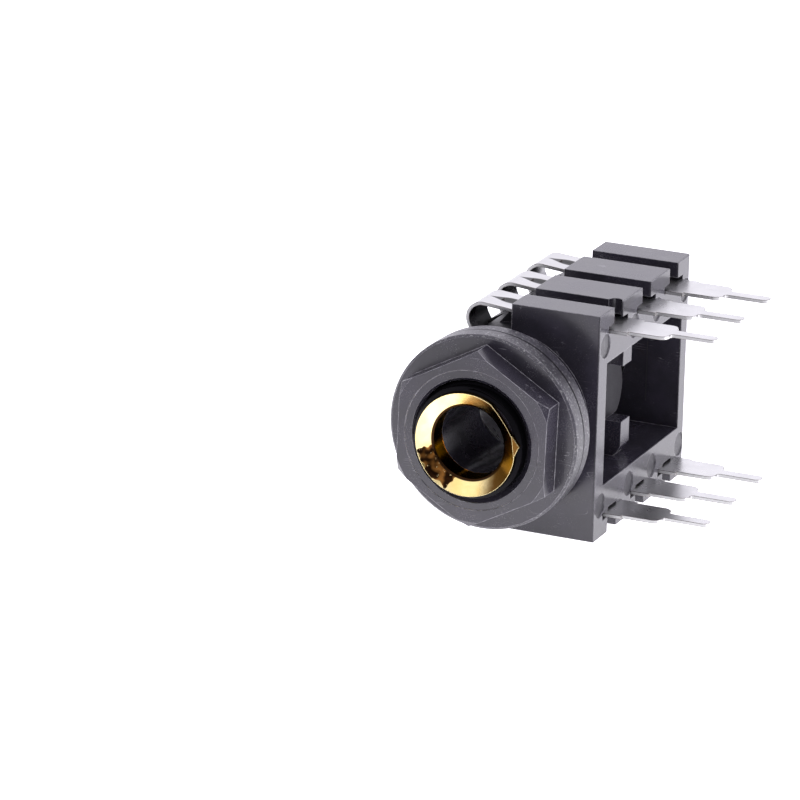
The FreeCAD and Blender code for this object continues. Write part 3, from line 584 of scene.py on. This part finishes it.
def smooth(piece):
    """Shades the piece's rounds smooth and keeps its flats flat."""
    piece.data.shade_smooth()
    piece.data.set_sharp_from_angle(angle=math.radians(SMOOTH_ANGLE))
    even = piece.modifiers.new("even_flats", "WEIGHTED_NORMAL")
    even.keep_sharp = True


def cut_away(piece, cutter):
    """Takes the cutter's shape out of the piece and removes the cutter."""
    cut = piece.modifiers.new("cut", "BOOLEAN")
    cut.operation = "DIFFERENCE"
    cut.solver = "EXACT"
    cut.object = cutter
    plain_mesh(piece)
    mesh = cutter.data
    bpy.data.objects.remove(cutter)
    bpy.data.meshes.remove(mesh)


def plain_mesh(piece):
    """Turns the piece's modifiers into its own mesh."""
    graph = bpy.context.evaluated_depsgraph_get()
    mesh = bpy.data.meshes.new_from_object(piece.evaluated_get(graph))
    old = piece.data
    piece.modifiers.clear()
    piece.data = mesh
    bpy.data.meshes.remove(old)
    return piece


def finish_piece(piece, material, node, body):
    """Gives the piece its material and its body, in place of a solid."""
    piece.data.materials.clear()
    piece.data.materials.append(material)
    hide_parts(node)
    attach(piece, body)


# Sizes and colours

class SocketLooks(bpy.types.PropertyGroup):
    plastic_edge: bpy.props.FloatProperty(
        name="Plastic edge", description="Radius of the plastic's worn edges, in millimetres",
        default=0.1, min=0.0, max=0.3)
    metal_edge: bpy.props.FloatProperty(
        name="Metal edge", description="Radius of the contacts' edges, in millimetres",
        default=0.1, min=0.0, max=0.2)
    housing_depth: bpy.props.FloatProperty(
        name="Housing tone", description="How light the housing's plastic is", default=0.023,
        min=0.0, max=1.0)
    nut_depth: bpy.props.FloatProperty(
        name="Nut tone", description="How light the nut's plastic is", default=0.022,
        min=0.0, max=1.0)
    plastic_sheen: bpy.props.FloatProperty(
        name="Plastic roughness", description="Roughness of the housing's plastic", default=0.22,
        min=0.0, max=1.0)


class SocketThreads(bpy.types.PropertyGroup):
    pitch: bpy.props.FloatProperty(
        name="Pitch", description="Distance from one turn to the next, in millimetres",
        default=1.0, min=0.2)
    crest_radius: bpy.props.FloatProperty(
        name="Crest radius", description="Radius over the bush's thread, in millimetres",
        default=5.45, min=0.0)
    root_radius: bpy.props.FloatProperty(
        name="Root radius", description="Radius that the ridge stands on, in millimetres",
        default=4.86, min=0.0)
    root_width: bpy.props.FloatProperty(
        name="Root width", description="Width of the ridge at its root, in millimetres",
        default=0.8, min=0.0)
    crest_width: bpy.props.FloatProperty(
        name="Crest width", description="Width of the ridge's flat crest, in millimetres",
        default=0.14, min=0.0)
    clearance: bpy.props.FloatProperty(
        name="Clearance", description="Room between the ridge and the nut's groove, in mm",
        default=0.03, min=0.0)
    runout: bpy.props.FloatProperty(
        name="Runout", description="Plain length of the bush before its mouth, in millimetres",
        default=1.0, min=0.0)


class SocketStudio(bpy.types.PropertyGroup):
    floor_shade: bpy.props.FloatProperty(
        name="Floor shade", description="How pale the floor is", default=0.9, min=0.0, max=1.0)
    floor_glow: bpy.props.FloatProperty(
        name="Floor glow", description="Light that the floor itself gives", default=1.3,
        min=0.0, max=5.0)
    world_light: bpy.props.FloatProperty(
        name="Room light", description="Strength of the light from behind the part", default=1.45,
        min=0.0, max=10.0)
    front_light: bpy.props.FloatProperty(
        name="Front light", description="Share of the room's light that comes from the front",
        default=0.06, min=0.0, max=1.0)
    lens: bpy.props.FloatProperty(
        name="Lens", description="Focal length of the camera", default=222.1, unit="CAMERA")


# Operators

class SOCKET_OT_housing(bpy.types.Operator):
    """Dress the moulded housing"""
    bl_idname = "socket.housing"
    bl_label = "Housing"

    def execute(self, context):
        looks = context.scene.socket_looks
        piece = dressed_copy("housing", "housing_moulding")
        smooth(piece)
        plastic = SatinPlastic("housing_plastic", looks.housing_depth, speckle=0.25)
        # Painted shade in the gap round the ferrule
        plastic.dark_mouth(BUSH_MOUTH)
        plastic.ejector_marks(MARK_FLOOR)
        plastic.dull_shaded_pad(PAD_FACE)
        plastic.shade_under_hoops(CLOSED_FACE)
        plastic.parting_line(SEAM_START)
        finish_piece(piece, plastic.close(wear_and_highlight=0.5), "housing", "housing")
        return {"FINISHED"}


class SOCKET_OT_bush_thread(bpy.types.Operator):
    """Wind the thread round the bush"""
    bl_idname = "socket.bush_thread"
    bl_label = "Bush thread"

    def execute(self, context):
        looks, threads = context.scene.socket_looks, context.scene.socket_threads
        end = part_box("housing")[0].y + 0.5 * threads.pitch * MM
        piece = thread_ridge("bush_thread", threads, thread_start(threads), end)
        taper_mouth(piece, threads)
        smooth(piece)
        piece.data.materials.clear()
        plastic = SatinPlastic("thread_plastic", looks.housing_depth, speckle=0.2)
        # Painted shade on the thread in the gap in front of its mouth
        plastic.dark_mouth(THREAD_MOUTH)
        piece.data.materials.append(plastic.close(wear_and_highlight=0.5))
        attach(piece, "housing")
        return {"FINISHED"}


class SOCKET_OT_ferrule(bpy.types.Operator):
    """Dress the gold ferrule in the bush"""
    bl_idname = "socket.ferrule"
    bl_label = "Ferrule"

    def execute(self, context):
        piece = dressed_copy("ferrule", "ferrule_ring")
        smooth(piece)
        finish_piece(piece, gold_plate("ferrule_gold"), "ferrule", "housing")
        return {"FINISHED"}


class SOCKET_OT_washer(bpy.types.Operator):
    """Dress the loose washer behind the nut"""
    bl_idname = "socket.washer"
    bl_label = "Washer"

    def execute(self, context):
        looks = context.scene.socket_looks
        piece = dressed_copy("washer", "washer_disc")
        smooth(piece)
        plastic = SatinPlastic("washer_plastic", looks.housing_depth, speckle=0.5)
        plastic.grained_rim(WASHER_RIM)
        plastic.dark_joint(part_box("washer")[0].y / MM)
        finish_piece(piece, plastic.close(wear_and_highlight=0.5), "washer", "washer")
        return {"FINISHED"}


class SOCKET_OT_nut(bpy.types.Operator):
    """Dress the hexagonal nut"""
    bl_idname = "socket.nut"
    bl_label = "Nut"

    def execute(self, context):
        looks, threads = context.scene.socket_looks, context.scene.socket_threads
        piece = dressed_copy("nut", "hexagonal_nut")
        start = thread_start(threads)
        cutter = thread_ridge("nut_groove", threads, start + threads.pitch * MM,
                              start - NUT_TURNS * threads.pitch * MM, threads.clearance * MM)
        cut_away(piece, cutter)
        smooth(piece)
        plastic = SatinPlastic("nut_plastic", looks.nut_depth, speckle=0.6)
        plastic.grained_rim(NUT_RIM)
        plastic.dark_joint(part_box("nut")[1].y / MM)
        finish_piece(piece, plastic.close(wear_and_highlight=0.9), "nut", "nut")
        return {"FINISHED"}


class SOCKET_OT_contacts(bpy.types.Operator):
    """Dress the three sprung contacts and their three switch contacts"""
    bl_idname = "socket.contacts"
    bl_label = "Contacts"

    def execute(self, context):
        material = tinned_metal("contact_tin", context.scene.socket_looks.metal_edge)
        for node in SPRINGS + SWITCHES:
            piece = dressed_copy(node, node + "_blade")
            smooth(piece)
            finish_piece(piece, material, node, "housing")
        return {"FINISHED"}


class SOCKET_OT_stage(bpy.types.Operator):
    """Lay the floor and set the lights and the camera"""
    bl_idname = "socket.stage"
    bl_label = "Stage"

    def execute(self, context):
        studio = context.scene.socket_studio
        lay_floor(studio)
        light_room(context.scene, studio)
        place_camera(context.scene, studio)
        return {"FINISHED"}


def lay_floor(studio):
    """A wide pale floor under the part."""
    mesh = bpy.data.meshes.new("floor")
    corners = [(x * FLOOR_HALF, y * FLOOR_HALF, FLOOR_HEIGHT)
               for x, y in ((-1, -1), (1, -1), (1, 1), (-1, 1))]
    mesh.from_pydata(corners, [], [(0, 1, 2, 3)])
    mesh.materials.append(pale_floor("floor_paper", studio.floor_shade, studio.floor_glow))
    floor = bpy.data.objects.new("floor", mesh)
    bpy.context.scene.collection.objects.link(floor)


def light_room(scene, studio):
    """White light that is brightest behind the part, and a soft panel over it."""
    world = bpy.data.worlds.new("room")
    world.use_nodes = True
    room = Graph(world.node_tree, "Background")
    _, depth, height = room.split(room.node("ShaderNodeTexCoord", out="Generated"))
    behind = (depth + height * 1.2).ramp(-0.5, 0.45)
    room.set("Color", room.mix(behind, (studio.front_light,) * 3 + (1.0,), BACK_COLOUR))
    room.set("Strength", studio.world_light)
    scene.world = world
    scene.view_settings.view_transform = "Standard"
    hang_panel(scene)


def hang_panel(scene):
    """A square soft light over the part."""
    lamp = bpy.data.lights.new("soft_panel_above", "AREA")
    lamp.shape = "SQUARE"
    lamp.size = PANEL_SIZE
    lamp.energy = PANEL_POWER
    holder = bpy.data.objects.new("soft_panel_above", lamp)
    holder.location = PANEL_PLACE
    holder.rotation_euler = (PANEL_AIM - PANEL_PLACE).to_track_quat("-Z", "Y").to_euler()
    scene.collection.objects.link(holder)


def place_camera(scene, studio):
    """The long lens that looks down on the part from its front right."""
    lens = bpy.data.cameras.new("camera")
    lens.lens = studio.lens
    lens.sensor_width = SENSOR_WIDTH
    lens.clip_start, lens.clip_end = CAMERA_REACH
    camera = bpy.data.objects.new("camera", lens)
    camera.location = CAMERA_PLACE
    look = CAMERA_LOOK.normalized()
    upright = CAMERA_ACROSS.cross(look).normalized()
    across = look.cross(upright)
    camera.rotation_euler = Matrix((across, upright, -look)).transposed().to_euler()
    scene.collection.objects.link(camera)
    scene.camera = camera


class SOCKET_PT_panel(bpy.types.Panel):
    """The pieces of the socket, in the order in which they are dressed"""
    bl_label = "Jack socket"
    bl_idname = "SOCKET_PT_panel"
    bl_space_type = "VIEW_3D"
    bl_region_type = "UI"
    bl_category = "Jack socket"

    def draw(self, context):
        layout = self.layout
        scene = context.scene
        for group in (scene.socket_looks, scene.socket_threads, scene.socket_studio):
            box = layout.box()
            for name in group.__annotations__:
                box.prop(group, name)
        for operator in OPERATORS:
            layout.operator(operator.bl_idname)


OPERATORS = (SOCKET_OT_housing, SOCKET_OT_bush_thread, SOCKET_OT_ferrule, SOCKET_OT_washer,
             SOCKET_OT_nut, SOCKET_OT_contacts, SOCKET_OT_stage)
CLASSES = (SocketLooks, SocketThreads, SocketStudio) + OPERATORS + (SOCKET_PT_panel,)


def register():
    for kind in CLASSES:
        bpy.utils.register_class(kind)
    bpy.types.Scene.socket_looks = bpy.props.PointerProperty(type=SocketLooks)
    bpy.types.Scene.socket_threads = bpy.props.PointerProperty(type=SocketThreads)
    bpy.types.Scene.socket_studio = bpy.props.PointerProperty(type=SocketStudio)


def unregister():
    del bpy.types.Scene.socket_studio
    del bpy.types.Scene.socket_threads
    del bpy.types.Scene.socket_looks
    for kind in reversed(CLASSES):
        bpy.utils.unregister_class(kind)


def main():
    register()
    bpy.ops.socket.housing()
    bpy.ops.socket.bush_thread()
    bpy.ops.socket.ferrule()
    bpy.ops.socket.washer()
    bpy.ops.socket.nut()
    bpy.ops.socket.contacts()
    bpy.ops.socket.stage()


if __name__ == "__main__":
    main()
